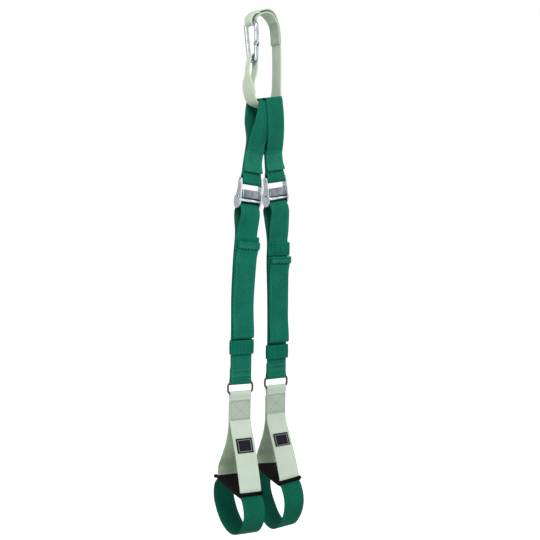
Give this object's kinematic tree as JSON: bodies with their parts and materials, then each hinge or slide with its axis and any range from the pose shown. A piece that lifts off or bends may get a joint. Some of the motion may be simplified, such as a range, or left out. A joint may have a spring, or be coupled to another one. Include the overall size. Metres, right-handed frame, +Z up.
{
  "type": "suspension_trainer",
  "caption": "Two-strap suspension trainer hanging from an anchor strap and carabiner, with cam buckles, padded handles and foot loops",
  "frame": {"origin": "underside of the anchor strap's inner layer, at the middle of the arch where it rests on whatever holds it up", "axes": "+Z up along the hanging straps, +X from the left strap towards the right one, -Y towards the user's front"},
  "size_m": [0.1334, 0.1688, 0.8837],
  "materials": {
    "green_webbing": "woven polyester webbing, deep green, slight sheen",
    "sage_webbing": "woven nylon webbing, pale sage green",
    "elastic": "woven elastic band, deep green",
    "bright_zinc": "bright zinc plate over steel, slightly cloudy",
    "cam_grey": "dull grey pressed steel",
    "ring_metal": "dark bronze coating",
    "grip_black": "black foam pad with a smooth skin",
    "label_black": "black woven patch, bare"
  },
  "bodies": {
    "anchor": {"anchor_strap": "sage_webbing", "carabiner_body": "bright_zinc", "gate_pivot_pin": "bright_zinc", "left_upper_loop": "green_webbing", "right_upper_loop": "green_webbing"},
    "gate": {"carabiner_gate": "bright_zinc", "gate_nose_pin": "bright_zinc"},
    "left_buckle": {"left_buckle_frame": "bright_zinc", "left_buckle_bar": "bright_zinc", "left_buckle_roller": "bright_zinc", "left_cam_pivot": "bright_zinc", "left_adjusting_strap": "green_webbing", "left_upper_keeper": "elastic", "left_lower_keeper": "elastic"},
    "left_cam": {"left_cam_lever": "cam_grey"},
    "left_ring_link": {"left_ring": "ring_metal"},
    "left_handle": {"left_handle_webbing": "sage_webbing", "left_grip_pad": "grip_black", "left_foot_loop": "green_webbing", "left_label_patch": "label_black"},
    "right_buckle": {"right_buckle_frame": "bright_zinc", "right_buckle_bar": "bright_zinc", "right_buckle_roller": "bright_zinc", "right_cam_pivot": "bright_zinc", "right_adjusting_strap": "green_webbing", "right_upper_keeper": "elastic", "right_lower_keeper": "elastic"},
    "right_cam": {"right_cam_lever": "cam_grey"},
    "right_ring_link": {"right_ring": "ring_metal"},
    "right_handle": {"right_handle_webbing": "sage_webbing", "right_grip_pad": "grip_black", "right_foot_loop": "green_webbing", "right_label_patch": "label_black"}
  },
  "joints": [
    {"name": "gate_hinge", "type": "hinge", "parent": "anchor", "child": "gate", "pos_m": [-0.0253, -0.02119, -0.05386], "axis": [-0.9455, -0.3256, 0], "range_deg": [0, 28], "stiffness_Nm_per_rad": 0.1, "springref_deg": -9.74},
    {"name": "left_buckle_swing", "type": "hinge", "parent": "anchor", "child": "left_buckle", "pos_m": [-0.02713, -0.00934, -0.2801], "axis": [0.9702, 0.2235, -0.0936], "range_deg": [-35, 20]},
    {"name": "left_cam_press", "type": "hinge", "parent": "left_buckle", "child": "left_cam", "pos_m": [-0.02966, -0.00916, -0.30599], "axis": [-0.9702, -0.2235, 0.0936], "range_deg": [0, 22], "stiffness_Nm_per_rad": 0.2, "springref_deg": -17.19},
    {"name": "left_ring_swing", "type": "hinge", "parent": "left_buckle", "child": "left_ring_link", "pos_m": [-0.043, -0.01481, -0.61534], "axis": [0.9998, -0.0175, -0.0016], "range_deg": [-45, 45]},
    {"name": "left_handle_swing", "type": "hinge", "parent": "left_ring_link", "child": "left_handle", "pos_m": [-0.04303, -0.01482, -0.63434], "axis": [0.9998, -0.0175, -0.0016], "range_deg": [-80, 80]},
    {"name": "right_buckle_swing", "type": "hinge", "parent": "anchor", "child": "right_buckle", "pos_m": [0.02742, 0.00944, -0.27343], "axis": [0.964, 0.2214, 0.147], "range_deg": [-35, 20]},
    {"name": "right_cam_press", "type": "hinge", "parent": "right_buckle", "child": "right_cam", "pos_m": [0.03083, 0.01167, -0.29912], "axis": [-0.964, -0.2214, -0.147], "range_deg": [0, 22], "stiffness_Nm_per_rad": 0.2, "springref_deg": -17.19},
    {"name": "right_ring_swing", "type": "hinge", "parent": "right_buckle", "child": "right_ring_link", "pos_m": [0.03766, 0.01297, -0.61674], "axis": [0.9975, 0.0697, 0.0101], "range_deg": [-45, 45]},
    {"name": "right_handle_swing", "type": "hinge", "parent": "right_ring_link", "child": "right_handle", "pos_m": [0.03785, 0.01303, -0.63574], "axis": [0.9975, 0.0697, 0.0101], "range_deg": [-80, 80]}
  ]
}
